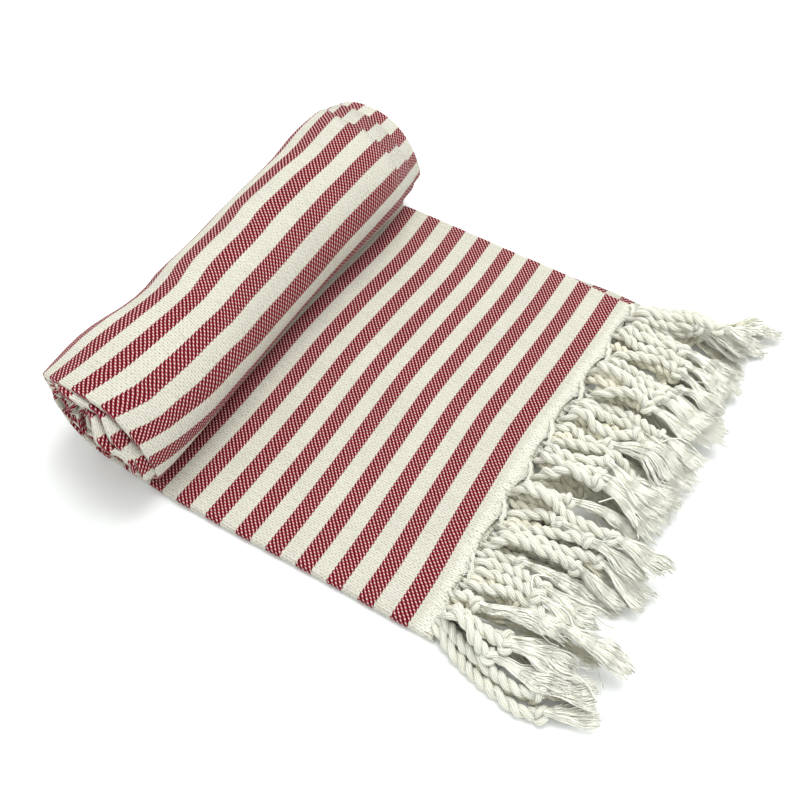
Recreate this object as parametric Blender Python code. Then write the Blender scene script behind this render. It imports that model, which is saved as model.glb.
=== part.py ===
"""A hammam towel, folded lengthwise into four layers and rolled up, with one loose end and its fringe.

Metres, +Z up. While it is modelled, X = 0 is the fringed edge of the cloth, with the fringe towards +X and
the roll towards -X. Y = 0 is the near folded edge of the strip, and Z = 0 is the surface that it lies on.
Once both pieces are made they move together, so that the origin is the centre of the towel's base.
"""

import math

import bpy

# Cloth and the loose, folded end
LAYER = 0.0010  # thickness of one layer of cloth
LAYER_GAP = 0.0003
LAYERS = 4
STRIP_THICKNESS = LAYERS * LAYER + (LAYERS - 1) * LAYER_GAP
EDGE_BOW = 0.0022  # how far the middle of the fringed edge lies behind its two corners
STRIP_MIDDLE = 0.122  # Y of the middle of the strip
STRIP_HALF_WIDTH = 0.122
LARGE_FOLD_STEPS = 8
SMALL_FOLD_STEPS = 4
RUN_STEPS = 6  # points along each face of a layer, which follow the bow
CUT_EDGE_INSET = 0.0015  # the second cut edge lies this far inside the first

# Stations of the loose end, from the fringed edge to under the roll. The top pair of layers ends at
# fold_y on the far side, and the lower pair at cut_y, where its cut edges show.
STRIP_STATIONS = (
    {"x": 0.000, "near_y": 0.0002, "fold_y": 0.2415, "cut_y": 0.2450},
    {"x": -0.020, "near_y": 0.0000, "fold_y": 0.2420, "cut_y": 0.2452},
    {"x": -0.045, "near_y": 0.0003, "fold_y": 0.2437, "cut_y": 0.2436},
    {"x": -0.080, "near_y": 0.0000, "fold_y": 0.2440, "cut_y": 0.2425},
    {"x": -0.120, "near_y": -0.0003, "fold_y": 0.2446, "cut_y": 0.2420},
    {"x": -0.150, "near_y": 0.0002, "fold_y": 0.2448, "cut_y": 0.2422},
    {"x": -0.177, "near_y": 0.0020, "fold_y": 0.2446, "cut_y": 0.2425},
)

# The roll
ROLL_STEPS = 56  # points round each section
ROLL_LEAN = -0.094  # how far the top leans over, as a share of its height
FLAT_SPOT_RISE = 0.0001  # the roll's own underside, just above the underside of the strip
TURN = 0.0036  # from one turn of the folded strip to the next
TURN_STICK_OUT = 0.0042  # the most that an inner turn stands out past the one around it
NEAR_TURNS = 4  # turns told apart at the near end
FAR_TURNS = 3  # turns told apart inside the outermost one at the far end
FAR_TURN_DEPTH = 0.0015  # each inner turn lies this much further in than the one around it
NEAR_CORE_DEPTH = 0.006
FAR_CORE_DEPTH = 0.003
CORE_INSET = 0.027
CORE_RIM_INSET = 0.019

# Sections of the roll along its length
ROLL_SECTIONS = (
    {"y": -0.010, "centre_x": -0.1741, "half_width": 0.0354, "half_height": 0.0342},
    {"y": 0.015, "centre_x": -0.1741, "half_width": 0.0353, "half_height": 0.0333},
    {"y": 0.045, "centre_x": -0.1756, "half_width": 0.0353, "half_height": 0.0315},
    {"y": 0.080, "centre_x": -0.1772, "half_width": 0.0348, "half_height": 0.0309},
    {"y": 0.115, "centre_x": -0.1784, "half_width": 0.0342, "half_height": 0.0309},
    {"y": 0.150, "centre_x": -0.1784, "half_width": 0.0339, "half_height": 0.0315},
    {"y": 0.185, "centre_x": -0.1773, "half_width": 0.0343, "half_height": 0.0321},
    {"y": 0.220, "centre_x": -0.1776, "half_width": 0.0344, "half_height": 0.0326},
    {"y": 0.250, "centre_x": -0.1782, "half_width": 0.0342, "half_height": 0.0329},
)
BODY_RING_YS = (0.015, 0.045, 0.080, 0.115, 0.150, 0.185, 0.210)

# Near rim of the outermost turn: its Y at each angle, from the underside up the side away from the
# fringe, over the top and down again. It hangs over at the top, and the turns inside it stand out
# further there, by this share of the most.
NEAR_RIM = (
    {"angle": 0, "y": 0.0030, "stick_out": 0.0},
    {"angle": 60, "y": 0.0025, "stick_out": 0.0},
    {"angle": 90, "y": 0.0010, "stick_out": 0.0},
    {"angle": 120, "y": -0.0030, "stick_out": 0.1},
    {"angle": 150, "y": -0.0085, "stick_out": 0.4},
    {"angle": 180, "y": -0.0100, "stick_out": 0.8},
    {"angle": 210, "y": -0.0080, "stick_out": 1.0},
    {"angle": 240, "y": -0.0100, "stick_out": 0.9},
    {"angle": 270, "y": -0.0078, "stick_out": 0.5},
    {"angle": 300, "y": -0.0040, "stick_out": 0.1},
    {"angle": 330, "y": 0.0000, "stick_out": 0.0},
    {"angle": 360, "y": 0.0030, "stick_out": 0.0},
)

# Far end: the layers of the outer turn end one after another, like low stairs.
FAR_STEPS = (
    {"y": 0.2275, "inset": 0.0000},
    {"y": 0.2280, "inset": 0.0010},
    {"y": 0.2395, "inset": 0.0013},
    {"y": 0.2400, "inset": 0.0023},
    {"y": 0.2490, "inset": 0.0030},
    {"y": 0.2500, "inset": 0.0042},
)
FAR_SIDE_REACH = 0.0050  # the far rim reaches this much further at the side away from the fringe
FAR_SIDE_SHARPNESS = 4  # the higher, the narrower the stretch that reaches further

# Section of one turn's rim at each end of the roll, as shares of TURN: how far each point lies behind the
# front of the rim, and how far inside the turn's outer face.
NEAR_TURN_PROFILE = (
    {"behind": 0.70, "inset": 0.92},
    {"behind": 0.20, "inset": 0.70},
    {"behind": 0.00, "inset": 0.30},
    {"behind": 0.30, "inset": 0.00},
)
FAR_TURN_PROFILE = (
    {"behind": 0.70, "inset": 0.20},
    {"behind": 0.30, "inset": 0.30},
    {"behind": 0.00, "inset": 0.60},
    {"behind": 0.10, "inset": 1.00},
)

# Fringe: one comb, with a prong for each cluster of twisted cords
FRINGE_GAP = 0.0003
SPINE_WIDTH = 0.0030
SPINE_STEPS = 24
PRONG_OVERLAP = 0.0015  # a prong starts this far inside the spine
PRONG_PROFILE = ((-0.50, 0.0), (0.50, 0.0), (0.48, 0.55), (0.26, 1.0), (-0.26, 1.0), (-0.48, 0.55))
PRONG_STATIONS = (
    {"along": 0.00, "towards": 0.00, "width": 0.0085, "height": 0.0066},
    {"along": 0.22, "towards": 0.40, "width": 0.0092, "height": 0.0085},
    {"along": 0.42, "towards": 0.80, "width": 0.0098, "height": 0.0092},
    {"along": 0.55, "towards": 1.00, "width": 0.0106, "height": 0.0100},
    {"along": 0.68, "towards": 1.00, "width": 0.0098, "height": 0.0066},
    {"along": 1.00, "towards": 1.00, "width": 0.0118, "height": 0.0028},
)
# root_y is where a prong leaves the edge, knot_y where its knots lie and tip_y where its tassels end.
PRONGS = (
    {"root_y": 0.006, "knot_y": -0.006, "tip_y": 0.004, "reach": 0.078},
    {"root_y": 0.018, "knot_y": 0.009, "tip_y": 0.018, "reach": 0.080},
    {"root_y": 0.032, "knot_y": 0.028, "tip_y": 0.031, "reach": 0.089},
    {"root_y": 0.046, "knot_y": 0.045, "tip_y": 0.043, "reach": 0.070},
    {"root_y": 0.060, "knot_y": 0.062, "tip_y": 0.058, "reach": 0.077},
    {"root_y": 0.074, "knot_y": 0.076, "tip_y": 0.073, "reach": 0.084},
    {"root_y": 0.089, "knot_y": 0.090, "tip_y": 0.087, "reach": 0.080},
    {"root_y": 0.103, "knot_y": 0.105, "tip_y": 0.101, "reach": 0.074},
    {"root_y": 0.117, "knot_y": 0.120, "tip_y": 0.115, "reach": 0.074},
    {"root_y": 0.132, "knot_y": 0.134, "tip_y": 0.129, "reach": 0.075},
    {"root_y": 0.148, "knot_y": 0.149, "tip_y": 0.143, "reach": 0.078},
    {"root_y": 0.164, "knot_y": 0.163, "tip_y": 0.158, "reach": 0.075},
    {"root_y": 0.180, "knot_y": 0.177, "tip_y": 0.172, "reach": 0.080},
    {"root_y": 0.195, "knot_y": 0.193, "tip_y": 0.188, "reach": 0.074},
    {"root_y": 0.210, "knot_y": 0.209, "tip_y": 0.206, "reach": 0.076},
    {"root_y": 0.225, "knot_y": 0.227, "tip_y": 0.229, "reach": 0.072},
    {"root_y": 0.239, "knot_y": 0.247, "tip_y": 0.262, "reach": 0.078},
)
TIP_TURN_START = 0.55  # share of a prong's reach where its tassels start to swing from knot_y to tip_y

CLOTH_COLOUR = (0.68, 0.50, 0.46)  # cream and crimson stripes taken together
CLOTH_ROUGHNESS = 0.95
FRINGE_COLOUR = (0.84, 0.82, 0.76)
FRINGE_ROUGHNESS = 0.95


def clear_scene():
    for obj in list(bpy.data.objects):
        bpy.data.objects.remove(obj, do_unlink=True)


def make_material(name, colour, roughness):
    material = bpy.data.materials.new(name)
    material.use_nodes = True
    shader = material.node_tree.nodes["Principled BSDF"]
    shader.inputs["Base Color"].default_value = (*colour, 1.0)
    shader.inputs["Roughness"].default_value = roughness
    shader.inputs["Metallic"].default_value = 0.0
    return material


def make_object(name, points, faces):
    mesh = bpy.data.meshes.new(name)
    mesh.from_pydata(points, [], faces)
    mesh.update()
    obj = bpy.data.objects.new(name, mesh)
    bpy.context.scene.collection.objects.link(obj)
    return obj


def interpolate(rows, key, at, column):
    """The value of a column of the table at the given key, straight between its rows."""
    low = rows[0]
    for high in rows[1:]:
        if at <= high[key]:
            break
        low = high
    span = high[key] - low[key]
    share = min(max((at - low[key]) / span, 0.0), 1.0) if span else 0.0
    return low[column] + share * (high[column] - low[column])


def loft(rings):
    """Points and faces of a closed body through rings of equally many points, with flat end faces."""
    count = len(rings[0])
    points = [point for ring in rings for point in ring]
    faces = [tuple(reversed(range(count)))]
    for k in range(len(rings) - 1):
        start = k * count
        for i in range(count):
            j = (i + 1) % count
            faces.append((start + i, start + j, start + count + j, start + count + i))
    last = (len(rings) - 1) * count
    faces.append(tuple(last + i for i in range(count)))
    return points, faces


def edge_x(y):
    """X of the fringed edge, which bows back between its corners."""
    across = (y - STRIP_MIDDLE) / STRIP_HALF_WIDTH
    return -EDGE_BOW * max(0.0, 1.0 - across * across)


def arc(centre_y, centre_z, radius, start, end, steps):
    """Points of an arc in the YZ plane, with angles in degrees from +Y towards +Z."""
    points = []
    for k in range(steps + 1):
        angle = math.radians(start + (end - start) * k / steps)
        points.append((centre_y + radius * math.cos(angle), centre_z + radius * math.sin(angle)))
    return points


def along_path(bends):
    """The points of the bends in turn, joined by runs of evenly spaced points."""
    points = list(bends[0])
    for bend in bends[1:]:
        start_y, z = points[-1]
        for k in range(1, RUN_STEPS):
            points.append((start_y + (bend[0][0] - start_y) * k / RUN_STEPS, z))
        points += bend
    return points


def strip_face(near_y, fold_y, cut_y, side):
    """One face of the folded sheet in the YZ plane, from its first cut edge to its second.

    The sheet runs near, turns over the large fold, runs far, turns under, runs near inside the large
    fold, turns again and ends a little inside its first cut edge. side is 1 for the face that looks up
    at the start and -1 for the other.
    """
    step = LAYER + LAYER_GAP
    mid = [LAYER / 2 + k * step for k in range(LAYERS)]  # middle height of each layer
    half = LAYER / 2
    large = (mid[3] - mid[0]) / 2
    small = step / 2
    large_y = near_y + large + half
    inner_y = near_y + LAYER + LAYER_GAP + small + half
    centre_z = (mid[0] + mid[3]) / 2
    fold_z = (mid[2] + mid[3]) / 2
    bends = (
        [(cut_y, mid[0] + side * half)],
        arc(large_y, centre_z, large - side * half, 270, 90, LARGE_FOLD_STEPS),
        arc(fold_y - small - half, fold_z, small - side * half, 90, -90, SMALL_FOLD_STEPS),
        arc(inner_y, centre_z, small + side * half, 90, 270, SMALL_FOLD_STEPS),
        [(cut_y - CUT_EDGE_INSET, mid[1] - side * half)],
    )
    return along_path(bends)


def make_loose_end():
    """The four layers that lie flat, from the fringed edge to under the roll."""
    rings = []
    for station in STRIP_STATIONS:
        ends = (station["near_y"], station["fold_y"], station["cut_y"])
        outline = strip_face(*ends, 1) + strip_face(*ends, -1)[::-1]
        bow_share = 1.0 - station["x"] / STRIP_STATIONS[-1]["x"]
        rings.append([(station["x"] + bow_share * edge_x(y), y, z) for y, z in outline])
    points, faces = loft(rings)
    count = len(rings[0])
    faces = faces[1:-1]
    for k in range(count // 2 - 1):
        section = (k, k + 1, count - 2 - k, count - 1 - k)
        faces.append(section[::-1])
        faces.append(tuple(len(points) - count + i for i in section))
    return make_object("loose_end", points, faces)


def roll_ring(ys, inset=0.0):
    """One ring round the roll. ys gives Y at each angle, and inset is how far the ring lies inside."""
    ring = []
    for k in range(ROLL_STEPS):
        degrees = 360.0 * k / ROLL_STEPS
        angle = math.radians(degrees)
        y = ys(degrees)
        centre_x = interpolate(ROLL_SECTIONS, "y", y, "centre_x")
        half_width = interpolate(ROLL_SECTIONS, "y", y, "half_width") - inset
        half_height = interpolate(ROLL_SECTIONS, "y", y, "half_height")
        rise = half_height - (half_height - inset) * math.cos(angle)
        x = centre_x - half_width * math.sin(angle) + ROLL_LEAN * rise
        ring.append((x, y, max(rise, FLAT_SPOT_RISE)))
    return ring


def near_rim_y(degrees, turn):
    """Y of a turn's rim at the near end, where turn 0 is the outermost."""
    rim_y = interpolate(NEAR_RIM, "angle", degrees, "y")
    return rim_y - turn * TURN_STICK_OUT * interpolate(NEAR_RIM, "angle", degrees, "stick_out")


def near_ring(turn, behind, inset):
    """A ring behind the rim of a turn at the near end."""
    return roll_ring(lambda degrees: near_rim_y(degrees, turn) + behind, inset)


def near_turn_rings(turn):
    """The groove and the rounded rim of one turn at the near end."""
    rings = []
    for point in NEAR_TURN_PROFILE:
        rings.append(near_ring(turn, point["behind"] * TURN, (turn + point["inset"]) * TURN))
    return rings


def far_ring(y, inset):
    """A ring at the far end, which reaches further at the side away from the fringe."""

    def rim_y(degrees):
        side = max(0.0, math.sin(math.radians(degrees)))
        return y + FAR_SIDE_REACH * side**FAR_SIDE_SHARPNESS

    return roll_ring(rim_y, inset)


def far_turn_rings(turn):
    """The groove and the rounded rim of one turn inside the outermost one, at the far end."""
    y = FAR_STEPS[-1]["y"] - turn * FAR_TURN_DEPTH
    inset = FAR_STEPS[-1]["inset"] + (turn - 1) * TURN
    rings = []
    for point in FAR_TURN_PROFILE:
        rings.append(far_ring(y - point["behind"] * TURN, inset + point["inset"] * TURN))
    return rings


def make_roll():
    """The wound cloth as one body, from the core of its near end to the core of its far end."""
    rings = []
    for inset in (CORE_INSET, CORE_RIM_INSET):
        rings.append(near_ring(NEAR_TURNS - 1, NEAR_CORE_DEPTH, inset))
    for turn in reversed(range(NEAR_TURNS)):
        rings += near_turn_rings(turn)
    for body_y in BODY_RING_YS:
        rings.append(roll_ring(lambda degrees: body_y))
    for step in FAR_STEPS:
        rings.append(far_ring(step["y"], step["inset"]))
    for turn in range(1, FAR_TURNS + 1):
        rings += far_turn_rings(turn)
    core_y = FAR_STEPS[-1]["y"] - FAR_TURNS * FAR_TURN_DEPTH - FAR_CORE_DEPTH
    rings.append(far_ring(core_y, CORE_RIM_INSET))
    rings.append(far_ring(core_y, CORE_INSET))
    return make_object("roll", *loft(rings))


def join_to(target, other):
    """Joins the other body to the target with a Boolean union, and hides the other."""
    other.hide_render = True
    other.display_type = "WIRE"
    union = target.modifiers.new(f"join_{other.name}", "BOOLEAN")
    union.operation = "UNION"
    union.object = other


def make_cloth():
    material = make_material("towel_cloth", CLOTH_COLOUR, CLOTH_ROUGHNESS)
    cloth = make_roll()
    cloth.name = "towel_cloth"
    cloth.data.materials.append(material)
    join_to(cloth, make_loose_end())
    return cloth


def make_spine():
    """The strip of knot roots along the fringed edge, which carries the prongs."""
    start_y = STRIP_STATIONS[0]["near_y"]
    end_y = STRIP_STATIONS[0]["fold_y"]
    rings = []
    for k in range(SPINE_STEPS + 1):
        y = start_y + (end_y - start_y) * k / SPINE_STEPS
        x = edge_x(y) + FRINGE_GAP
        rings.append(
            [
                (x, y, STRIP_THICKNESS),
                (x, y, 0.0),
                (x + SPINE_WIDTH, y, 0.0),
                (x + SPINE_WIDTH, y, STRIP_THICKNESS),
            ]
        )
    return make_object("spine", *loft(rings))


def prong_rings(prong):
    """Sections of one prong, from inside the spine to the ends of its tassels, flat underneath."""
    start_x = edge_x(prong["root_y"]) + FRINGE_GAP + SPINE_WIDTH - PRONG_OVERLAP
    rings = []
    for station in PRONG_STATIONS:
        x = start_x + (prong["reach"] - start_x) * station["along"]
        y = prong["root_y"] + (prong["knot_y"] - prong["root_y"]) * station["towards"]
        swing = max(0.0, (station["along"] - TIP_TURN_START) / (1.0 - TIP_TURN_START))
        y += (prong["tip_y"] - prong["knot_y"]) * swing
        ring = []
        for across, up in PRONG_PROFILE:
            ring.append((x, y + across * station["width"], up * station["height"]))
        rings.append(ring)
    return rings


def make_fringe():
    material = make_material("fringe", FRINGE_COLOUR, FRINGE_ROUGHNESS)
    fringe = make_spine()
    fringe.name = "fringe"
    fringe.data.materials.append(material)
    for number, prong in enumerate(PRONGS):
        points, faces = loft(prong_rings(prong))
        join_to(fringe, make_object(f"prong_{number}", points, faces))
    return fringe


def centre_on_base(pieces):
    """Moves the pieces together, so that the origin is the middle of their common base."""
    bpy.context.view_layer.update()
    graph = bpy.context.evaluated_depsgraph_get()
    corners = [corner for piece in pieces for corner in piece.evaluated_get(graph).bound_box]
    centre = [(min(axis) + max(axis)) / 2 for axis in zip(*corners)]
    base_z = min(corner[2] for corner in corners)
    for obj in bpy.data.objects:
        obj.location = (-centre[0], -centre[1], -base_z)


def main():
    clear_scene()
    cloth = make_cloth()
    fringe = make_fringe()
    centre_on_base([cloth, fringe])


main()
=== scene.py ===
"""A striped hammam towel, folded lengthwise into four layers and rolled up from one end.

The cloth is one sheet. Its loose end lies flat, and the rest is wound into the roll. Its shape is worked
out in the strip's frame, in metres: X = 0 is the fringed edge, with the fringe towards +X and the roll
towards -X, Y = 0 is the near folded edge and Z = 0 the surface that it lies on. "Along" is the distance
along the cloth from the end of its last red stripe, and "across" the distance from its near fold.
"""

import math

import bpy
import numpy as np
from mathutils import Matrix, Vector


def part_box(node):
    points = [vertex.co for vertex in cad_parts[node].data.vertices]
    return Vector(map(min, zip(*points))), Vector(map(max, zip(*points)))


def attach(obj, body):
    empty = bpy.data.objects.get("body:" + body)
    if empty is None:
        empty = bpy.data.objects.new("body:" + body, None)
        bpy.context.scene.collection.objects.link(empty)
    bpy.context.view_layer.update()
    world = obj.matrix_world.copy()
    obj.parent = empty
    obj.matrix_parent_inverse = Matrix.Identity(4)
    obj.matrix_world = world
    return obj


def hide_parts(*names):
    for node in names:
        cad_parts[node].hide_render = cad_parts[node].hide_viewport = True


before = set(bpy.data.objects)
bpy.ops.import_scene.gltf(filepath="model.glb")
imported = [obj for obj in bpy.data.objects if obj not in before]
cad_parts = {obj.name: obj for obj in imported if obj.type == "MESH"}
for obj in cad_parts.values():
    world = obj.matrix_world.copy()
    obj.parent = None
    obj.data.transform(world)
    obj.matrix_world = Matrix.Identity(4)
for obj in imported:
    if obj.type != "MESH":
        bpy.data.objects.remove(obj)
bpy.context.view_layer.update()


def table(columns, *rows):
    """A table with named columns: a list of its rows, each with a value under each name."""
    return [dict(zip(columns.split(), row)) for row in rows]


# Where the strip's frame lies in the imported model
CAD_FAR_END = 0.255  # Y of the roll's furthest point in the strip's frame
CLOTH_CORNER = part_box("towel_cloth")[1]
ORIGIN = np.array([CLOTH_CORNER.x, CLOTH_CORNER.y - CAD_FAR_END, 0.0])

# The folded strip
CLOTH = 0.0006  # thickness of the cloth
LAYERS = 4
FLAT_THICKNESS = 0.0049  # of the four layers, lying loose
WOUND_THICKNESS = 0.0027  # of the four layers, wound tight: also the pitch of the roll
ALONG_AT_EDGE = -0.0125  # "along" at X = 0
TIGHTENING = (-0.21, 0.0)  # turns between which the loose layers tighten towards the roll

# The roll's sections along its length
ROLL = table(
    "y centre_x half_width half_height",
    (-0.010, -0.1741, 0.0354, 0.0342),
    (0.015, -0.1741, 0.0353, 0.0333),
    (0.045, -0.1756, 0.0353, 0.0315),
    (0.080, -0.1772, 0.0348, 0.0309),
    (0.115, -0.1784, 0.0342, 0.0309),
    (0.150, -0.1784, 0.0339, 0.0315),
    (0.185, -0.1773, 0.0343, 0.0321),
    (0.220, -0.1776, 0.0344, 0.0326),
    (0.250, -0.1782, 0.0342, 0.0329),
)
ROLL_LEAN = -0.094  # how far the top leans over, as a share of its height
# How far the roll's left side stands out past its sections
ROLL_SWELL = table(
    "y out",
    (-0.010, 0.0000),
    (0.000, 0.0009),
    (0.011, 0.0026),
    (0.025, 0.0041),
    (0.039, 0.0030),
    (0.053, -0.0006),
    (0.068, -0.0026),
    (0.085, -0.0008),
    (0.103, -0.0013),
    (0.120, -0.0012),
    (0.138, -0.0003),
    (0.165, 0.0002),
    (0.178, 0.0006),
    (0.192, 0.0012),
    (0.210, 0.0034),
    (0.231, 0.0044),
    (0.250, 0.0028),
)
# How the roll narrows towards its far end
END_TAPER = table(
    "y inset",
    (0.205, 0.0000),
    (0.218, 0.0003),
    (0.228, 0.0009),
    (0.240, 0.0014),
    (0.252, 0.0017),
)
# How far the roll's lower right side flares out towards its far end, and between which shares of the roll's
# height this dies away
FAR_FLARE = table(
    "y out",
    (0.185, 0.0000),
    (0.205, 0.0014),
    (0.225, 0.0044),
    (0.240, 0.0072),
    (0.255, 0.0096),
)
FLARE_FADE = (0.15, 0.55)
LAYER_STEP = 0.0012  # how far a layer sinks in past the edge of the one over it
LAYER_SLIP = 0.0045  # how far the innermost layer's stripes lag behind the outermost one's in the roll
LOWER_SLIP = 0.0075  # how far the lower layers' stripes lie towards the fringe at the far edge
TURNS = 10.6
STEP_IN_START = 280.0  # degrees round each turn where it starts to step in under the turn before it
# Waves at the roll's near end, each with its height, its radians in a turn and its phase: of the folds in
# and out of the roll, and of the turns towards and away from its middle. The second ones' phase drifts
# slowly from turn to turn, so that turns stay apart.
FOLD_WAVES = ((0.0014, 2 * math.pi * 3.3, 0.0), (0.0018, 2 * math.pi * 7.1, 1.0))
CRUMPLE_WAVES = ((0.0012, 6 * math.pi + 1.3, 0.0), (0.0008, 14 * math.pi + 1.9, 0.0))
CRUMPLE_REACH = (0.004, 0.030)  # from the near fold
FIRST_TURN_STEPS = 64
SECOND_TURN_STEPS = 44
INNER_TURN_STEPS = 28
FLAT_STEPS = 34
FLAT_STEP_GROWTH = 1.15  # above 1, the steps of the loose end are closest at the fringed edge

# Edges of the strip, at the number of turns wound. Below 0 is the share of the flat strip that is still
# to go to the roll. near is the near fold, cut and second_cut the selvedges and fold the far fold.
EDGES = table(
    "turns near cut second_cut fold",
    (-1.00, 0.0002, 0.2480, 0.2440, 0.2415),
    (-0.89, 0.0000, 0.2486, 0.2440, 0.2420),
    (-0.75, 0.0003, 0.2466, 0.2425, 0.2437),
    (-0.55, 0.0000, 0.2442, 0.2415, 0.2440),
    (-0.32, -0.0003, 0.2420, 0.2410, 0.2446),
    (-0.15, 0.0002, 0.2422, 0.2410, 0.2448),
    (0.00, 0.0025, 0.2420, 0.2410, 0.2446),
    (0.16, 0.0030, 0.2410, 0.2410, 0.2470),
    (0.25, 0.0042, 0.2400, 0.2430, 0.2500),
    (0.33, 0.0000, 0.2385, 0.2440, 0.2520),
    (0.41, -0.0068, 0.2350, 0.2440, 0.2515),
    (0.47, -0.0092, 0.2280, 0.2415, 0.2509),
    (0.58, -0.0085, 0.2275, 0.2400, 0.2513),
    (0.69, -0.0080, 0.2275, 0.2400, 0.2522),
    (0.76, -0.0060, 0.2275, 0.2445, 0.2546),
    (0.85, -0.0010, 0.2290, 0.2430, 0.2562),
    (1.00, 0.0035, 0.2330, 0.2410, 0.2510),
    (1.25, 0.0015, 0.2340, 0.2400, 0.2470),
    (1.36, -0.0025, 0.2335, 0.2400, 0.2475),
    (1.45, -0.0085, 0.2330, 0.2400, 0.2480),
    (1.57, -0.0135, 0.2330, 0.2400, 0.2480),
    (1.70, -0.0135, 0.2330, 0.2400, 0.2480),
    (1.79, -0.0075, 0.2335, 0.2400, 0.2470),
    (1.87, 0.0010, 0.2340, 0.2400, 0.2460),
    (2.00, 0.0045, 0.2340, 0.2400, 0.2450),
    (2.25, 0.0025, 0.2330, 0.2390, 0.2455),
    (2.38, -0.0020, 0.2325, 0.2385, 0.2460),
    (2.50, -0.0105, 0.2320, 0.2380, 0.2465),
    (2.60, -0.0165, 0.2320, 0.2380, 0.2465),
    (2.72, -0.0150, 0.2320, 0.2380, 0.2460),
    (2.82, -0.0080, 0.2325, 0.2385, 0.2450),
    (3.00, 0.0030, 0.2330, 0.2385, 0.2440),
    (3.25, 0.0020, 0.2320, 0.2380, 0.2445),
    (3.42, -0.0050, 0.2310, 0.2370, 0.2450),
    (3.56, -0.0110, 0.2310, 0.2370, 0.2450),
    (3.70, -0.0145, 0.2310, 0.2370, 0.2445),
    (3.85, -0.0035, 0.2310, 0.2370, 0.2435),
    (4.00, 0.0020, 0.2310, 0.2370, 0.2430),
    (4.30, 0.0010, 0.2305, 0.2365, 0.2430),
    (4.55, -0.0070, 0.2300, 0.2360, 0.2435),
    (4.75, -0.0085, 0.2300, 0.2360, 0.2430),
    (5.00, 0.0010, 0.2300, 0.2360, 0.2420),
    (5.60, -0.0020, 0.2295, 0.2355, 0.2415),
    (7.00, 0.0020, 0.2280, 0.2340, 0.2400),
    (10.6, 0.0040, 0.2250, 0.2320, 0.2370),
)

# Teeth of the fringed edge, each the root of a bundle of cords
TEETH = table(
    "y x",
    (0.0103, 0.0024),
    (0.0422, -0.0003),
    (0.0773, -0.0016),
    (0.1047, -0.0008),
    (0.1341, -0.0032),
    (0.1673, -0.0014),
    (0.2001, -0.0002),
    (0.2355, -0.0009),
)
SCALLOP_DEPTH = 0.0024
EDGE_ZONE = (0.0, 0.07)  # share of the loose end next to the fringe in which its edge's shape dies away
LOWER_REACH = 0.0022  # how far the lower layers reach out under the edge
GATHER = 0.0022  # how far the yarns at the edge are drawn towards the teeth
SCALLOP_SHIFT = 0.016  # how far along the edge the lowest layer's teeth lie from the top one's

# Where things set in. In turns: the waves of the near end, the sinking of layers and the slip of stripes
FOLD_WAVE_TURNS = (1.1, 1.5)
CRUMPLE_TURNS = (0.95, 1.4)
SINK_TURNS = (0.05, 0.30)
SLIP_TURNS = (0.0, 0.4)
FAR_CORNER_TURNS = (-0.6, -0.2)
# In shares of the strip's thickness, from its outer face: what lies under the first edge and the second
# one, how the slip grows, and where the lower layers of the far corner end
UNDER_FIRST_EDGE = (0.20, 0.34)
UNDER_SECOND_EDGE = (0.45, 0.58)
SLIP_SHARES = (0.125, 0.60)
LOWER_SHARES = (0.3, 0.7)
# In metres across the strip: from the near fold, from a layer's edge, and from Y = 0
FOLLOW_Y = (0.005, 0.085)
PAST_EDGE = (-0.005, 0.001)
FAR_CORNER = (0.10, 0.20)

# Points across the sheet: along each run of a layer, and round each fold
TOP_RUN_STEPS = 56
OUTER_RUN_STEPS = 26
HIDDEN_RUN_STEPS = 8
LARGE_FOLD_STEPS = 8
SMALL_FOLD_STEPS = 5

# Stripes: where each red stripe of the loose end starts, "along" the cloth. The rest follow evenly.
STRIPE_PITCH = 0.0169
STRIPE_WIDTH = 0.0086
STRIPE_STARTS = (-0.0027, 0.0154, 0.0323, 0.0490, 0.0660, 0.0825, 0.0999, 0.1175)
STRIPES_IN_ROLL = 119  # more than the cloth has
# How far the stripes bow towards the fringe, at its side of the loose end and at the roll's side
STRIPE_BOW = table(
    "y fringe_side roll_side",
    (0.000, 0.0000, -0.0003),
    (0.023, 0.0000, 0.0003),
    (0.063, -0.0020, 0.0011),
    (0.095, -0.0031, 0.0006),
    (0.123, -0.0039, -0.0001),
    (0.160, -0.0023, 0.0008),
    (0.215, -0.0005, 0.0031),
    (0.245, -0.0003, 0.0017),
)
BOW_SPAN = 0.1206  # from the last red stripe to the one where roll_side was measured
# How far the stripes on the roll lie from their even spacing, at four distances along the cloth
ROLL_STRIPE_PLACES = (0.260, 0.285, 0.305, 0.321)
ROLL_STRIPES_SET_IN = 0.150  # from this distance, up to the first place
ROLL_STRIPES = table(
    "y left crown right crease",
    (-0.005, -0.0009, 0.0012, 0.0007, 0.0015),
    (0.008, -0.0038, -0.0021, -0.0040, -0.0024),
    (0.020, -0.0050, -0.0038, -0.0045, -0.0050),
    (0.033, -0.0054, -0.0038, -0.0048, -0.0069),
    (0.047, -0.0036, -0.0031, -0.0043, -0.0074),
    (0.062, -0.0030, -0.0027, -0.0040, -0.0072),
    (0.077, -0.0026, -0.0032, -0.0048, -0.0080),
    (0.092, 0.0006, -0.0024, -0.0039, -0.0080),
    (0.108, 0.0016, -0.0017, -0.0038, -0.0079),
    (0.124, 0.0009, -0.0018, -0.0037, -0.0081),
    (0.140, 0.0021, -0.0019, -0.0039, -0.0087),
    (0.157, 0.0008, -0.0021, -0.0039, -0.0082),
    (0.174, -0.0009, -0.0030, -0.0044, -0.0087),
    (0.190, -0.0048, -0.0051, -0.0057, -0.0103),
    (0.210, -0.0062, -0.0064, -0.0071, -0.0114),
    (0.232, -0.0044, -0.0066, -0.0077, -0.0119),
)

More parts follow.
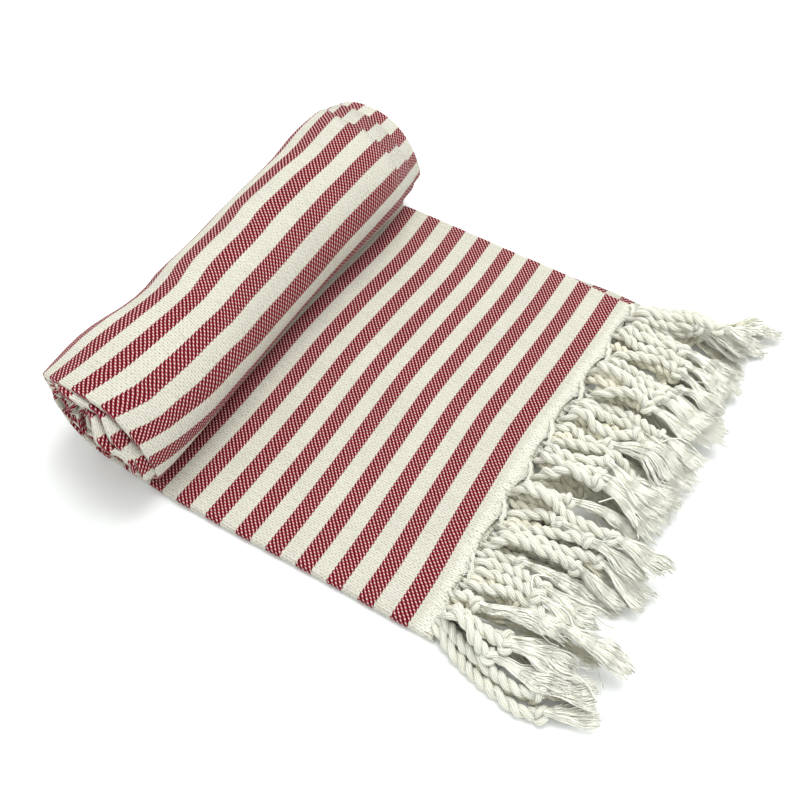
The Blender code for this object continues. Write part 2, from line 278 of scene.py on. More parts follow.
RED = (0.232, 0.0030, 0.020)
RED_DARK = (0.050, 0.0003, 0.0030)
PINK = (0.300, 0.045, 0.064)
CREAM = (0.562, 0.546, 0.472)
CREAM_DARK = (0.255, 0.235, 0.172)
CREAM_LIT_EDGE = (0.700, 0.700, 0.610)  # of the border next to the fringe, where the weave is looser: a painted light, lighter than the cream, for the bright floor round the fringe and against the shade of its cords
OPEN_WEAVE_SHADE = (0.300, 0.275, 0.190)  # painted shade in the gaps between the yarns, next to the fringed edge
# The yarns of the fringe, light and dark, how much painted shade darkens the grooves between them, and how
# far light gets into them. The cords, tassels and under ones are lit and shaded copies of one yarn; the under
# ones lie deep in the fringe.
YARNS = {
    "cords": {
        "colours": ((0.805, 0.800, 0.712), (0.500, 0.486, 0.360)),
        "groove_shade": 0.60,
        "softness": 0.35,
    },
    # Lighter than the cords: painted light that makes up for the shade their fine yarns cast on each other
    "tassels": {
        "colours": ((0.985, 0.976, 0.875), (0.890, 0.870, 0.710)),
        "groove_shade": 0.10,
        "softness": 0.0,
    },
    # Warmer than the others: painted warm shade, as they lie deep in the fringe
    "under": {
        "colours": ((0.880, 0.855, 0.700), (0.620, 0.580, 0.420)),
        "groove_shade": 0.60,
        "softness": 0.0,
    },
}

rng = np.random.default_rng(7)


# ---------------------------------------------------------------- small helpers


def column(rows, name):
    return np.array([row[name] for row in rows])


def smooth(rows, key, name, at):
    """A column of a table at the given keys, on a smooth curve through its rows."""
    keys = column(rows, key)
    values = column(rows, name)
    slopes = np.gradient(values, keys)
    at = np.clip(at, keys[0], keys[-1])
    k = np.clip(np.searchsorted(keys, at, side="right") - 1, 0, len(keys) - 2)
    span = keys[k + 1] - keys[k]
    t = (at - keys[k]) / span
    start = (1 + 2 * t) * (1 - t) ** 2 * values[k] + t * (1 - t) ** 2 * span * slopes[k]
    end = t * t * (3 - 2 * t) * values[k + 1] + t * t * (t - 1) * span * slopes[k + 1]
    return start + end


def ease(low, high, at):
    """0 below low, 1 above high and a smooth step between them."""
    t = np.clip((at - low) / (high - low), 0.0, 1.0)
    return t * t * (3 - 2 * t)


def ripple(at, *waves):
    """A sum of sine waves at a place. Each has its height, its rate in radians and its phase."""
    return sum(height * np.sin(rate * at + phase) for height, rate, phase in waves)


def mesh_object(name, points, quads, uvs):
    """A mesh from points in the strip's frame, quads, and a place on the cloth for each quad's corner."""
    mesh = bpy.data.meshes.new(name)
    mesh.vertices.add(len(points))
    mesh.vertices.foreach_set("co", (points + ORIGIN).astype(np.float32).ravel())
    mesh.loops.add(quads.size)
    mesh.loops.foreach_set("vertex_index", quads.astype(np.int32).ravel())
    mesh.polygons.add(len(quads))
    mesh.polygons.foreach_set("loop_start", np.arange(len(quads), dtype=np.int32) * 4)
    layer = mesh.uv_layers.new(name="cloth")
    layer.data.foreach_set("uv", uvs.astype(np.float32).ravel())
    mesh.update(calc_edges=True)
    mesh.validate()
    mesh.shade_smooth()
    obj = bpy.data.objects.new(name, mesh)
    bpy.context.scene.collection.objects.link(obj)
    return obj


# ---------------------------------------------------------------- the cloth's shape


def wound_steps():
    """The turns wound at each step along the cloth, from -1 at the fringed edge to TURNS."""
    flat = np.linspace(0.0, 1.0, FLAT_STEPS + 1) ** FLAT_STEP_GROWTH - 1.0
    first = np.linspace(0.0, 1.0, FIRST_TURN_STEPS + 1)[1:]
    second = np.linspace(1.0, 2.0, SECOND_TURN_STEPS + 1)[1:]
    count = int(round((TURNS - 2.0) * INNER_TURN_STEPS))
    rest = np.linspace(2.0, TURNS, count + 1)[1:]
    return np.concatenate([flat, first, second, rest])


def turn_inset(turns):
    """How far the outer face of the strip lies inside the roll's outline."""
    whole = np.floor(turns)
    degrees = (turns - whole) * 360.0
    return WOUND_THICKNESS * (whole + ease(STEP_IN_START, 360.0, degrees))


def roll_point(turns, y, height, swollen=1.0):
    """X and Z in the roll, where height is measured through the strip from its outer face."""
    angle = 2 * math.pi * turns
    inset = turn_inset(turns) + height
    swell = swollen * smooth(ROLL_SWELL, "y", "out", y) / 2
    half_width = smooth(ROLL, "y", "half_width", y) + swell
    half_height = smooth(ROLL, "y", "half_height", y)
    rise = half_height - (half_height - inset) * np.cos(angle)
    x = smooth(ROLL, "y", "centre_x", y) - swell - (half_width - inset) * np.sin(angle) + ROLL_LEAN * rise
    rightness = np.maximum(-np.sin(angle), 0.0) * (1 - inset / half_height)
    lowness = 1 - ease(*FLARE_FADE, rise / (2 * half_height))
    return x + swollen * smooth(FAR_FLARE, "y", "out", y) * rightness * lowness, rise


def run(start, end, steps):
    """Evenly spaced values from start up to but without end, in a row for each step along the cloth."""
    share = np.arange(steps) / steps
    return start[:, None] + (end - start)[:, None] * share


def near_wave(turns):
    """The unevenness of the near folds, round the turns under the outermost one."""
    return ripple(turns, *FOLD_WAVES) * ease(*FOLD_WAVE_TURNS, turns)


def crumple(turns, from_near):
    """How the turns wave towards and away from the roll's middle at the near end."""
    wave = ripple(turns, *CRUMPLE_WAVES) * ease(*CRUMPLE_TURNS, turns)
    return wave[:, None] * (1 - ease(*CRUMPLE_REACH, from_near))


def across_path(turns):
    """Y, height in the strip and distance across the cloth, at each step along and across the sheet."""
    thickness = FLAT_THICKNESS + (WOUND_THICKNESS - FLAT_THICKNESS) * ease(*TIGHTENING, turns)
    layer = thickness / LAYERS
    near = smooth(EDGES, "turns", "near", turns) + near_wave(turns)
    cut = smooth(EDGES, "turns", "cut", turns)
    second_cut = smooth(EDGES, "turns", "second_cut", turns)
    fold = smooth(EDGES, "turns", "fold", turns)
    mid = [(k + 0.5) * layer for k in range(LAYERS)]
    large, small = 1.5 * layer, 0.5 * layer
    half = CLOTH / 2
    near_turn = near + large + half
    inner_turn = near + layer + small + half
    far_turn = fold - small - half

    def bend(centre_y, centre_height, radius, start, end, steps):
        angle = np.radians(start + (end - start) * np.arange(steps) / steps)
        y = centre_y[:, None] + radius[:, None] * np.cos(angle)
        return y, centre_height[:, None] + radius[:, None] * np.sin(angle)

    def level(start, end, steps, height):
        y = run(start, end, steps)
        return y, np.broadcast_to(height[:, None], y.shape)

    middle = thickness / 2
    pieces = (
        level(cut, near_turn, OUTER_RUN_STEPS, mid[0]),
        bend(near_turn, middle, large, 270, 90, LARGE_FOLD_STEPS),
        level(near_turn, far_turn, TOP_RUN_STEPS, mid[3]),
        bend(far_turn, (mid[2] + mid[3]) / 2, small, 90, -90, SMALL_FOLD_STEPS),
        level(far_turn, inner_turn, HIDDEN_RUN_STEPS, mid[2]),
        bend(inner_turn, middle, small, 90, 270, SMALL_FOLD_STEPS),
        level(inner_turn, second_cut, HIDDEN_RUN_STEPS, mid[1]),
        (second_cut[:, None], mid[1][:, None]),
    )
    y = np.concatenate([piece[0] for piece in pieces], axis=1)
    height = np.concatenate([piece[1] for piece in pieces], axis=1)

    # Across the cloth: true to the fold near it, and to Y further away
    step = np.hypot(np.diff(y, axis=1), np.diff(height, axis=1))
    path = np.concatenate([np.zeros((len(y), 1)), np.cumsum(step, axis=1)], axis=1)
    fold_index = OUTER_RUN_STEPS + LARGE_FOLD_STEPS // 2
    across = path - path[:, fold_index : fold_index + 1]
    away = ease(*FOLLOW_Y, y - near[:, None])
    side = np.sign(across)
    outer_or_top = np.arange(y.shape[1]) < OUTER_RUN_STEPS + LARGE_FOLD_STEPS + TOP_RUN_STEPS
    across = across + np.where(outer_or_top, side * away * near[:, None], 0.0)

    # The ribs of the second layer lean as the others do
    turned = OUTER_RUN_STEPS + LARGE_FOLD_STEPS + TOP_RUN_STEPS + SMALL_FOLD_STEPS + HIDDEN_RUN_STEPS
    across[:, turned:] = 2 * across[:, turned : turned + 1] - across[:, turned:]

    # Each layer sinks in past the edge of the one over it, in the roll, and all narrow towards its end
    share = height / thickness[:, None]
    past_first = ease(*PAST_EDGE, y - cut[:, None]) * ease(*UNDER_FIRST_EDGE, share)
    past_second = ease(*PAST_EDGE, y - second_cut[:, None]) * ease(*UNDER_SECOND_EDGE, share)
    sunk = LAYER_STEP * (past_first + past_second) + smooth(END_TAPER, "y", "inset", y)
    height = height + sunk * ease(*SINK_TURNS, turns)[:, None] + crumple(turns, y - near[:, None])
    slip = LAYER_SLIP * ease(*SLIP_SHARES, share) * ease(*SLIP_TURNS, turns)[:, None]
    at_far_corner = (1 - ease(*FAR_CORNER_TURNS, turns))[:, None] * ease(*FAR_CORNER, y)
    slip = slip - LOWER_SLIP * (1 - ease(*LOWER_SHARES, share)) * at_far_corner
    return y, height, across, slip


def between_teeth(y):
    """The share of the way from one tooth of the fringed edge to the next."""
    tooth_y = column(TEETH, "y")
    k = np.clip(np.searchsorted(tooth_y, y) - 1, 0, len(tooth_y) - 2)
    return np.clip((y - tooth_y[k]) / (tooth_y[k + 1] - tooth_y[k]), 0.0, 1.0)


def scallop(y):
    """X of the fringed edge, drawn out to a tooth at the root of each bundle of cords."""
    teeth = np.interp(y, column(TEETH, "y"), column(TEETH, "x"))
    return teeth - SCALLOP_DEPTH * np.sin(math.pi * between_teeth(y)) ** 2


def gather(y, share):
    """How far the yarns next to the fringed edge are drawn towards the nearest tooth."""
    return GATHER * np.sin(2 * math.pi * between_teeth(y)) * (1 - ease(*EDGE_ZONE, share))


def lie_flat(turns, y, height):
    """X and Z of the loose end."""
    share = 1.0 + turns
    x = share * smooth(ROLL, "y", "centre_x", y) + ROLL_LEAN * height * share**8
    lower = np.clip(1.0 - height / (0.7 * FLAT_THICKNESS), 0.0, 1.0)
    edge = scallop(y + SCALLOP_SHIFT * lower) + LOWER_REACH * lower
    return x + edge * (1 - ease(*EDGE_ZONE, share)), height


def along_cloth(x, y, turns, flat):
    """Distance along the cloth: by X on the loose end, then by the outer face's length round the roll."""
    nearness = np.clip((ALONG_AT_EDGE - x) / BOW_SPAN, 0.0, 1.0)
    bow = (1 - nearness) * smooth(STRIPE_BOW, "y", "fringe_side", y)
    bow = bow + nearness * smooth(STRIPE_BOW, "y", "roll_side", y)
    along = ALONG_AT_EDGE - x + bow
    outer_x, outer_z = roll_point(np.maximum(turns, 0.0), y, 0.0 * y, swollen=0.0)
    step = np.hypot(np.diff(outer_x, axis=0), np.diff(outer_z, axis=0))
    step = np.concatenate([np.zeros((1, y.shape[1])), step])
    step[flat] = 0.0
    start = along[np.sum(flat) - 1]
    return np.where(flat[:, None], along, start + np.cumsum(step, axis=0))


def stripe_coordinate(along):
    """Stretches the distance along the cloth a little, so that its stripes are even."""
    count = len(STRIPE_STARTS)
    extra = STRIPE_STARTS[-1] + STRIPE_PITCH * np.arange(1, STRIPES_IN_ROLL + 1)
    starts = np.concatenate([[STRIPE_STARTS[0] - STRIPE_PITCH], STRIPE_STARTS, extra])
    numbers = np.arange(-1, count + len(extra))
    return STRIPE_PITCH * np.interp(along, starts, numbers)


def roll_stripes(along, y):
    """How far the stripes on the roll lie from their even spacing."""
    values = [smooth(ROLL_STRIPES, "y", name, y) for name in ("left", "crown", "right", "crease")]
    shift = values[0] * ease(ROLL_STRIPES_SET_IN, ROLL_STRIPE_PLACES[0], along)
    for k in range(3):
        low, high = ROLL_STRIPE_PLACES[k : k + 2]
        shift = shift + (values[k + 1] - values[k]) * np.clip((along - low) / (high - low), 0.0, 1.0)
    return shift


def unit(vectors):
    return vectors / np.maximum(np.linalg.norm(vectors, axis=-1, keepdims=True), 1e-12)


def thick_sheet(points, uvs):
    """Gives a grid of points its thickness: points, quads and UVs of a closed sheet."""
    rows, columns = points.shape[:2]
    along = np.gradient(points, axis=0)
    across = np.gradient(points, axis=1)
    normal = unit(np.cross(along, across))
    outward = normal * CLOTH / 2
    both = np.concatenate([(points + outward).reshape(-1, 3), (points - outward).reshape(-1, 3)])
    index = np.arange(rows * columns).reshape(rows, columns)
    under = index + rows * columns

    def quads(a, b, c, d):
        return np.stack([a.ravel(), b.ravel(), c.ravel(), d.ravel()], axis=1)

    faces = [
        quads(index[:-1, :-1], index[1:, :-1], index[1:, 1:], index[:-1, 1:]),
        quads(under[:-1, :-1], under[:-1, 1:], under[1:, 1:], under[1:, :-1]),
        quads(index[:-1, 0], under[:-1, 0], under[1:, 0], index[1:, 0]),
        quads(index[:-1, -1], index[1:, -1], under[1:, -1], under[:-1, -1]),
        quads(index[0, :-1], index[0, 1:], under[0, 1:], under[0, :-1]),
        quads(index[-1, :-1], under[-1, :-1], under[-1, 1:], index[-1, 1:]),
    ]
    faces = np.concatenate(faces)
    flat_uvs = uvs.reshape(-1, 2)
    return both, faces, np.concatenate([flat_uvs, flat_uvs])[faces]


def make_cloth():
    turns = wound_steps()
    y, height, across, slip = across_path(turns)
    every = np.broadcast_to(turns[:, None], y.shape)
    flat = turns <= 0.0
    flat_x, flat_z = lie_flat(every, y, height)
    wound_x, wound_z = roll_point(np.maximum(every, 0.0), y, height)
    x = np.where(flat[:, None], flat_x, wound_x)
    z = np.where(flat[:, None], flat_z, wound_z)
    along = along_cloth(x, y, every, flat)
    stripes = stripe_coordinate(along) + roll_stripes(along, y) - slip
    uvs = np.stack([stripes, across + gather(y, 1.0 + every)], axis=-1)
    points, quads, uvs = thick_sheet(np.stack([x, y, z], axis=-1), uvs)
    cloth = mesh_object("cloth", points, quads, uvs)
    cloth.data.materials.append(cloth_material())
    return cloth


# ---------------------------------------------------------------- materials


class Nodes:
    """Adds nodes to a material's tree, with short names for what is used most."""

    def __init__(self, name):
        self.material = bpy.data.materials.new(name)
        self.material.use_nodes = True
        self.tree = self.material.node_tree
        self.shader = self.tree.nodes["Principled BSDF"]

    def add(self, kind, settings=None, **inputs):
        node = self.tree.nodes.new(kind)
        for key, value in (settings or {}).items():
            setattr(node, key, value)
        for key, value in inputs.items():
            self.put(node.inputs[key.replace("_", " ")], value)
        return node

    def put(self, socket, value):
        if isinstance(value, bpy.types.NodeSocket):
            self.tree.links.new(value, socket)
        else:
            socket.default_value = value

    def math(self, operation, *values):
        node = self.tree.nodes.new("ShaderNodeMath")
        node.operation = operation
        for socket, value in zip(node.inputs, values):
            self.put(socket, value)
        return node.outputs[0]

    def total(self, *values):
        result = values[0]
        for value in values[1:]:
            result = self.math("ADD", result, value)
        return result

    def times(self, a, b):
        return self.math("MULTIPLY", a, b)

    def weighted(self, *terms, offset=None):
        """The sum of values, each times its weight, and of the offset."""
        result = self.total(*[self.times(value, weight) for value, weight in terms])
        return result if offset is None else self.total(result, offset)

    def one_less(self, value):
        return self.math("SUBTRACT", 1.0, value)

    def step(self, value, low, high):
        """0 below low, 1 above high, smooth between them."""
        node = self.add("ShaderNodeMapRange", {"interpolation_type": "SMOOTHSTEP"})
        for name, number in (("Value", value), ("From Min", low), ("From Max", high)):
            self.put(node.inputs[name], number)
        return node.outputs["Result"]

    def mix(self, share, a, b):
        node = self.tree.nodes.new("ShaderNodeMix")
        node.data_type = "RGBA"
        self.put(node.inputs[0], share)
        for socket, value in ((node.inputs[6], a), (node.inputs[7], b)):
            self.put(socket, (*value, 1.0) if isinstance(value, tuple) else value)
        return node.outputs[2]

    def noise(self, vector, scale, detail):
        """Noise with about as many spots in a metre as the scale says."""
        node = self.add("ShaderNodeTexNoise", Scale=scale, Detail=detail)
        self.put(node.inputs["Vector"], vector)
        return node.outputs["Fac"]

    def drawn_out_noise(self, uv, scales, detail):
        """Noise with a scale along the cloth and another across it."""
        mapping = self.add("ShaderNodeMapping", Vector=uv, Scale=(*scales, 1.0))
        return self.noise(mapping.outputs["Vector"], 1.0, detail)

    def cloth_place(self):
        """The place on the cloth, or on a yarn, and its distances along and across."""
        uv = self.add("ShaderNodeUVMap", {"uv_map": "cloth"}).outputs["UV"]
        split = self.add("ShaderNodeSeparateXYZ", Vector=uv)
        return uv, split.outputs["X"], split.outputs["Y"]

    def surface(self, **values):
        """Sets values of the shader that are the same all over the surface."""
        for name, value in values.items():
            self.shader.inputs[name.replace("_", " ")].default_value = value

    def bump(self, height, distance, strength):
        node = self.add("ShaderNodeBump", Distance=distance, Strength=strength)
        self.put(node.inputs["Height"], height)
        self.put(self.shader.inputs["Normal"], node.outputs["Normal"])


# The weave: how many ribs, and lines that cross them, a centimetre has along and across the cloth
RIBS = (-4.2, 4.0)
CROSSINGS = (3.8, 4.0)
SWAY_ALONG, SWAY_ACROSS = 0.0006, -0.0005  # how far the yarns stray
SAW_DEPTH = 0.00022  # how far the ribs step the stripes' edges
EDGE_SOFTNESS = 0.012  # of the stripes' edges, as a share of the pitch
FIRST_RED = (-0.04, 0.0)  # in pitches, where the border ends and the stripes start
LIT_BORDER_END = (-0.0070, -0.0010)  # "along", where the looser border and its painted light turn into plain cream
OPEN_END = (-0.0085, -0.0045)  # "along", where the gaps between the yarns, with their painted shade, end
# Where each mark of the weave sets in and where it is whole, on the wave or noise that makes it
PALE_RIB = (0.22, 0.90)
PALE_DASH = (-0.30, 0.45)
BRIGHT_RED = (-0.90, 0.10)
ROW = (0.0, 1.0)
PIN_POINT = (0.45, 0.95)
GAP = (0.60, 0.68)
NO_GROOVE = (0.0, 0.55)
# Spots of noise in a metre, or in a metre along and across
CLOTH_SWAY = 260.0
GRAIN = 900.0
CLOTH_PATCH = 35.0
SLUBS = (110.0, 1300.0)
GAPS = (260.0, 900.0)
FIBRES = (300.0, 2600.0)
YARN_SWAY = 240.0
YARN_PATCH = 60.0


def cloth_material():
    n = Nodes("cloth")
    uv, along, across = n.cloth_place()

    # Ribs and rows, with a slow unevenness of the yarns, so that they aren't ruled lines
    sway = n.math("SUBTRACT", n.noise(uv, CLOTH_SWAY, 3.0), 0.5)
    along_cm = n.times(n.total(along, n.times(sway, SWAY_ALONG)), 100.0)
    across_cm = n.times(n.total(across, n.times(sway, SWAY_ACROSS)), 100.0)

    def phase(lines):
        return n.times(n.weighted((along_cm, lines[0]), (across_cm, lines[1])), 2 * math.pi)

    rib, crossing = phase(RIBS), phase(CROSSINGS)
    cos_rib = n.math("COSINE", rib)
    cos_row = n.math("COSINE", n.total(rib, crossing))
    line = n.step(cos_rib, *PALE_RIB)
    dash = n.step(cos_row, *PALE_DASH)
    row = n.step(cos_row, *ROW)
    pin = n.step(n.times(n.total(cos_rib, n.math("COSINE", crossing)), -0.5), *PIN_POINT)
    grain = n.noise(uv, GRAIN, 2.0)
    slub = n.drawn_out_noise(uv, SLUBS, 2.0)

    # Red stripes, with edges stepped by the ribs
    saw = n.times(n.math("SINE", rib), SAW_DEPTH)
    place = n.math("DIVIDE", n.total(along, saw), STRIPE_PITCH)
    share = n.math("FRACT", place)
    width = STRIPE_WIDTH / STRIPE_PITCH
    rise = n.step(share, 0.0, EDGE_SOFTNESS)
    fall = n.step(share, width - EDGE_SOFTNESS, width)
    red = n.times(n.times(rise, n.one_less(fall)), n.step(place, *FIRST_RED))
    red_yarn = n.mix(n.step(cos_rib, *BRIGHT_RED), RED_DARK, RED)
    in_red = n.mix(line, red_yarn, n.mix(dash, PINK, CREAM))

    # Cream, and the border next to the fringe, made lighter with painted light
    shade = n.weighted((pin, 0.36), (row, 0.28), (grain, 1.30), (slub, 0.80), offset=-1.00)
    lit_border = n.one_less(n.step(along, *LIT_BORDER_END))
    in_cream = n.mix(shade, n.mix(lit_border, CREAM, CREAM_LIT_EDGE), CREAM_DARK)
    # Painted shade in the gaps between the yarns next to the fringed edge
    gap = n.step(n.drawn_out_noise(uv, GAPS, 1.0), *GAP)
    by_edge = n.one_less(n.step(along, *OPEN_END))
    in_cream = n.mix(n.times(gap, by_edge), in_cream, OPEN_WEAVE_SHADE)

    tone = n.add("ShaderNodeHueSaturation", Color=n.mix(red, in_cream, in_red))
    n.put(tone.inputs["Value"], n.weighted((n.noise(uv, CLOTH_PATCH, 3.0), 0.16), offset=0.92))
    n.put(n.shader.inputs["Base Color"], tone.outputs["Color"])
    n.surface(Roughness=0.92, Specular_IOR_Level=0.15, Sheen_Weight=0.04)
    plain = n.weighted((row, -0.6), (pin, -0.4), (slub, 0.6))
    relief = n.total(n.times(plain, n.one_less(red)), n.times(grain, 1.5))
    n.bump(relief, 0.00015, 0.9)
    return n.material


def yarn_material(name, colours, groove_shade, softness):
    n = Nodes(name)
    uv, along, around = n.cloth_place()
    streak = n.drawn_out_noise(uv, FIBRES, 3.0)
    sway = n.times(n.noise(uv, YARN_SWAY, 2.0), 0.0006)
    turn = n.weighted((n.total(around, sway), 1 / YARN_SPACING), (along, 1 / YARN_PITCH))
    strand = n.math("ABSOLUTE", n.math("SINE", n.times(turn, math.pi)))
    groove = n.one_less(n.step(strand, *NO_GROOVE))
    patch = n.noise(n.add("ShaderNodeTexCoord").outputs["Object"], YARN_PATCH, 2.0)
    # Streaks and patches of tone, and painted shade in the grooves between the yarns
    shade = n.weighted((streak, 0.50), (patch, 0.20), (groove, groove_shade), offset=-0.20)
    n.put(n.shader.inputs["Base Color"], n.mix(shade, *colours))
    n.surface(Roughness=0.9, Specular_IOR_Level=0.25, Sheen_Weight=0.2)
    n.surface(Subsurface_Weight=softness, Subsurface_Radius=(1.0, 0.95, 0.75), Subsurface_Scale=0.0015)
    n.bump(n.total(strand, n.times(streak, 0.9)), 0.00034, 1.0)
    return n.material


# ---------------------------------------------------------------- fringe


# Cords, in centimetres from the end of the last red stripe and from the near fold, as they lie. Each row is
# one cord. Its last three places are its knot and the two that its tassel goes through, and those before
# them are its route. First come the cords that lie on the lower layers' ones, and then those that lie
# across others.
LYING_CORDS = (
    ((1.2, 0.6), (2.5, 0.0), (3.5, -0.35), (5.0, -0.7), (6.5, -0.9), (7.2, -0.6), (8.0, -0.1), (9.4, 1.0)),
    ((1.3, 0.9), (2.5, 0.45), (3.5, 0.15), (4.7, -0.15), (5.8, -0.3), (6.7, -0.05), (7.8, 0.7), (9.0, 1.6)),
    ((1.4, 1.7), (2.3, 1.5), (3.2, 1.3), (4.5, 1.3), (6.0, 1.8), (8.0, 1.5)),
    ((1.5, 1.3), (2.6, 1.2), (3.6, 1.0), (4.7, 0.9), (6.3, 1.1), (8.2, 1.0)),
    ((1.5, 3.2), (2.5, 3.3), (3.5, 3.5), (4.5, 3.4), (5.5, 2.9), (6.0, 2.8), (8.5, 2.8), (10.1, 2.8)),
    ((1.4, 3.9), (2.5, 4.1), (3.2, 4.1), (4.2, 3.9), (4.8, 3.6), (6.0, 3.4), (7.6, 3.2)),
    ((1.2, 5.0), (2.0, 5.2), (2.7, 5.3), (3.2, 5.3), (6.0, 5.6), (7.5, 5.3)),
    ((1.6, 6.4), (2.6, 6.5), (3.5, 6.7), (4.5, 6.8), (5.5, 7.0), (6.3, 7.2), (8.0, 6.9), (9.5, 6.8)),
    ((1.4, 7.6), (2.2, 7.9), (3.2, 8.2), (3.9, 8.0), (6.0, 8.0), (7.8, 7.9)),
    ((1.2, 9.2), (2.0, 9.1), (3.0, 9.1), (3.7, 9.3), (6.0, 9.7), (8.2, 9.3)),
    ((1.2, 11.2), (2.0, 11.0), (3.0, 10.9), (3.7, 11.1), (4.4, 11.3), (6.5, 11.1), (8.5, 10.9)),
    ((1.2, 12.6), (2.0, 12.8), (3.0, 12.9), (4.0, 13.2), (5.0, 13.1), (6.2, 12.4), (7.4, 12.2), (8.6, 12.0)),
    ((1.2, 14.4), (2.3, 14.8), (3.0, 14.5), (4.0, 14.4), (5.0, 14.8), (7.0, 14.0), (9.0, 13.8)),
    ((1.2, 15.3), (2.0, 15.3), (3.0, 15.5), (4.0, 15.7), (5.0, 15.4), (6.5, 14.9), (8.2, 14.3)),
    ((1.2, 18.1), (2.0, 17.8), (3.3, 17.6), (4.3, 17.5), (5.0, 17.4), (7.2, 17.1), (9.3, 16.9)),
    ((1.4, 19.1), (2.3, 18.9), (3.5, 18.7), (4.5, 18.5), (5.5, 18.3), (6.1, 18.4), (7.5, 18.3), (8.9, 18.2)),
    ((1.5, 19.7), (2.3, 19.9), (3.3, 20.2), (4.2, 20.5), (4.8, 20.2), (5.3, 19.9), (7.0, 19.3), (8.6, 18.6)),
    ((1.2, 21.8), (2.2, 21.5), (3.2, 21.4), (4.2, 21.6), (4.9, 21.5), (7.0, 21.4), (8.8, 21.3)),
    ((1.6, 22.3), (2.5, 22.7), (3.5, 22.9), (4.7, 23.4), (6.4, 23.3), (8.2, 23.3)),
    ((1.6, 22.7), (2.8, 22.9), (3.9, 23.2), (5.0, 23.4), (6.5, 23.5), (8.2, 23.9)),
    ((1.5, 23.4), (3.3, 23.7), (4.5, 24.0), (6.0, 24.3), (7.4, 24.7), (8.8, 25.2)),
    ((1.4, 23.8), (2.4, 23.9), (3.6, 24.1), (5.2, 24.5), (6.9, 25.0), (8.0, 25.8), (9.2, 26.7)),
)
CROSSING_CORDS = (
    ((1.5, 1.0), (2.5, 0.9), (3.5, 0.4), (4.2, 0.3), (6.0, 0.3), (8.0, 0.5)),
    ((1.3, 2.4), (2.0, 2.5), (2.5, 2.3), (5.0, 2.5), (7.0, 2.3)),
    ((1.3, 4.3), (2.3, 4.6), (3.3, 4.6), (4.2, 4.4), (4.8, 4.2), (6.2, 3.9), (8.0, 3.6)),
    ((1.4, 5.5), (2.3, 6.0), (3.3, 6.2), (4.3, 6.3), (5.5, 6.4), (7.5, 6.0), (8.7, 6.2)),
    ((1.6, 6.9), (2.5, 7.1), (3.5, 7.3), (4.2, 7.5), (5.5, 7.6), (7.5, 7.5), (8.8, 7.4)),
    ((1.1, 8.8), (2.0, 8.7), (3.0, 8.7), (4.0, 8.5), (5.0, 8.3), (6.4, 8.1), (8.0, 7.8), (9.6, 7.6)),
    ((1.6, 10.1), (2.5, 10.2), (3.0, 10.6), (4.0, 10.6), (4.5, 10.8), (7.0, 10.4), (8.8, 10.0)),
    ((1.3, 11.9), (2.0, 11.6), (3.0, 11.5), (3.7, 11.7), (4.4, 12.2), (7.0, 11.3), (8.5, 11.5)),
    ((1.1, 13.7), (2.0, 14.0), (2.6, 13.7), (3.3, 13.6), (3.9, 13.8), (6.0, 14.0), (8.0, 13.0)),
    ((1.4, 15.8), (2.3, 16.1), (3.3, 16.3), (4.3, 16.2), (5.0, 15.7), (6.0, 15.5), (7.4, 15.0), (8.7, 14.4)),
    ((1.8, 16.6), (2.6, 16.7), (3.3, 17.0), (4.2, 17.0), (4.8, 16.7), (6.8, 16.4), (8.5, 16.2)),
    ((1.6, 18.5), (2.5, 18.4), (3.5, 18.2), (4.4, 18.0), (5.2, 17.9), (7.0, 17.6), (8.8, 17.4)),
    ((1.6, 19.3), (2.5, 19.2), (4.0, 19.1), (5.0, 18.8), (5.7, 19.2), (7.0, 19.0), (8.4, 18.8)),
    ((1.2, 21.3), (2.0, 21.0), (3.0, 20.8), (4.0, 20.9), (5.3, 20.6), (7.0, 20.5), (8.4, 20.4)),
    ((1.5, 22.1), (2.3, 22.2), (3.3, 22.1), (4.5, 22.2), (5.9, 22.2), (7.0, 22.4), (8.4, 22.6)),
    ((1.4, 22.9), (2.2, 23.1), (3.3, 23.4), (4.5, 23.6), (6.0, 23.5), (7.0, 23.6), (8.4, 23.7)),
)


def make_cord(level, places):
    """A cord by its level, which is -1 in the lower layers of cloth, and its places."""
    return {"level": level, "route": places[:-3], "knot": places[-3], "tassel": places[-2:]}


CORDS = [make_cord(0, places) for places in LYING_CORDS] + [make_cord(1, places) for places in CROSSING_CORDS]

PLY_RADIUS = 0.0017
PLY_OFFSET = 0.0014  # of each ply from the middle of its cord
LEAST_PLY_HEIGHT = PLY_RADIUS * 0.92  # over the floor, on which a ply is pressed a little flat
CORD_RADIUS = 0.0027  # of the two plies together, as they lie on others
CORD_PITCH = 0.0120
ROOT_LENGTH = 0.35  # of a cord's part under the cloth's edge, in centimetres
ROOT_HEIGHTS = (0.0018, 0.0028, 0.0042)  # at which cords come out of the edge, by their level
ROOT_KEEP, ROOT_DROOP = 0.010, 0.022  # lengths over which a cord leaves this height, and has come down
ROOT_SIZE, ROOT_GROWTH = 0.40, 0.009  # of a ply at its root, and the length over which it grows
PLY_SIDES = 16
PLY_SIDES_UNDER = 10
PLY_STEP = 0.0009
PLY_STEP_UNDER = 0.0013
CORD_PRESS, CORD_SLOPE = 0.0012, 0.45  # how far a cord sinks into what is below, and its steepest fall
PLY_LOBES = {"lobes": 5, "lobe_depth": 0.07, "lobe_twist": 500.0}  # of the yarns in a ply
YARN_SPACING = 0.00105  # of the yarns round a ply
YARN_PITCH = 0.0120
YARN_RADIUS = 0.00025
YARN_SIDES = 4
YARN_POINTS = 12
LEAST_YARN_HEIGHT = YARN_RADIUS * 1.1

